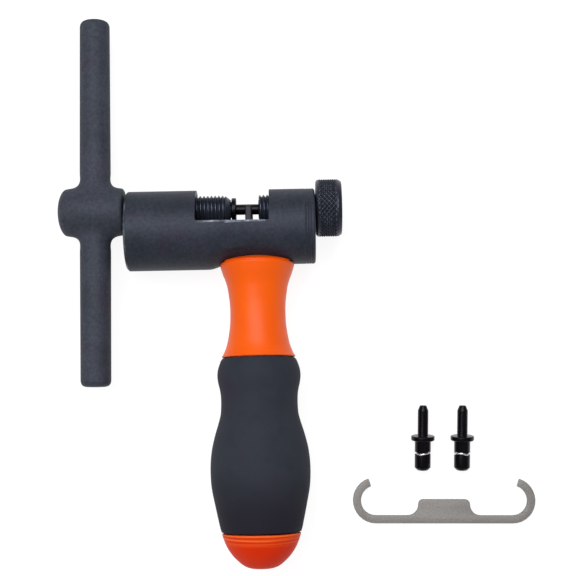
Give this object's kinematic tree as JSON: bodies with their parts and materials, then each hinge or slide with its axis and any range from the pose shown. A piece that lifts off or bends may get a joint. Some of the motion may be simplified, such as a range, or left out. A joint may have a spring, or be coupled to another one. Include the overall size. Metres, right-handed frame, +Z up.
{
  "type": "bicycle chain tool",
  "caption": "Hand screw press for bicycle chain pins: T-bar spindle, driving pin, notched body, knurled adjusting screw, two-colour grip, with spare pins and a chain hook.",
  "frame": {"origin": "centre of the whole set's box, on the floor it lies on", "axes": "+Y from the grip end to the T-bar's longer arm, +X from the T-bar to the knurled knob, +Z up; the tool lies on its side, its grip end raised by 2.2 degrees"},
  "size_m": [0.1602, 0.186, 0.0331],
  "materials": {
    "body_steel": "black oxide, satin",
    "bar_steel": "black oxide on forged steel, faintly mottled, satin",
    "screw_steel": "black oxide, oiled",
    "knob_steel": "black oxide, diamond knurled",
    "pin_steel": "hardened, black, shiny",
    "ring_steel": "bright spring wire",
    "zinc_steel": "zinc plated",
    "hook_steel": "blasted grey",
    "orange_plastic": "moulded, satin gloss",
    "orange_cap": "moulded, satin",
    "grip_rubber": "matte rubber",
    "seal_rubber": "black rubber"
  },
  "bodies": {
    "frame": {"tool_body": "body_steel", "handle_core": "orange_plastic", "rubber_grip": "grip_rubber", "handle_stud": "zinc_steel", "stud_washer": "zinc_steel", "stud_nut": "zinc_steel"},
    "pin_carriage": {"driving_pin": "pin_steel", "driving_pin_ring": "ring_steel"},
    "spindle": {"pressure_spindle": "screw_steel", "t_bar_handle": "bar_steel"},
    "adjuster_carriage": {"adjuster_bush": "pin_steel"},
    "adjuster": {"adjusting_screw": "screw_steel", "adjuster_knob": "knob_steel"},
    "cap_carriage": {"cap_seal": "seal_rubber"},
    "cap": {"end_cap": "orange_cap"},
    "loose_pin_1": {"spare_pin_1": "pin_steel", "spare_pin_ring_1": "ring_steel"},
    "loose_pin_2": {"spare_pin_2": "pin_steel", "spare_pin_ring_2": "ring_steel"},
    "hook": {"chain_hook": "hook_steel"}
  },
  "joints": [
    {"name": "pin_feed", "type": "slide", "parent": "frame", "child": "pin_carriage", "axis": [1, 0, 0], "range_m": [-0.024, 0.0005]},
    {"name": "spindle_turn", "type": "hinge", "parent": "pin_carriage", "child": "spindle", "pos_m": [-0.04322, 0.02656, 0.01316], "axis": [1, 0, 0], "range_deg": [-6918, 150]},
    {"name": "adjuster_feed", "type": "slide", "parent": "frame", "child": "adjuster_carriage", "axis": [1, 0, 0], "range_m": [0, 0.008]},
    {"name": "adjuster_turn", "type": "hinge", "parent": "adjuster_carriage", "child": "adjuster", "pos_m": [-0.00322, 0.02656, 0.01316], "axis": [1, 0, 0], "range_deg": [0, 2310]},
    {"name": "cap_feed", "type": "slide", "parent": "frame", "child": "cap_carriage", "axis": [0, -0.9992, 0.0388], "range_m": [0, 0.012]},
    {"name": "cap_turn", "type": "hinge", "parent": "cap_carriage", "child": "cap", "pos_m": [-0.01322, -0.08136, 0.01734], "axis": [0, -0.9992, 0.0388], "range_deg": [0, 2166]},
    {"name": "spare_pin_1_lift", "type": "slide", "parent": "frame", "child": "loose_pin_1", "axis": [0, 0, 1], "range_m": [0, 0.05]},
    {"name": "spare_pin_2_lift", "type": "slide", "parent": "frame", "child": "loose_pin_2", "axis": [0, 0, 1], "range_m": [0, 0.05]},
    {"name": "hook_lift", "type": "slide", "parent": "frame", "child": "hook", "axis": [0, 0, 1], "range_m": [0, 0.05]}
  ],
  "couplings": [
    {"joint": "spindle_turn", "follows": "pin_feed", "rad_per_m": 5026.5},
    {"joint": "adjuster_turn", "follows": "adjuster_feed", "rad_per_m": 5026.5},
    {"joint": "cap_turn", "follows": "cap_feed", "rad_per_m": 3141.6}
  ]
}
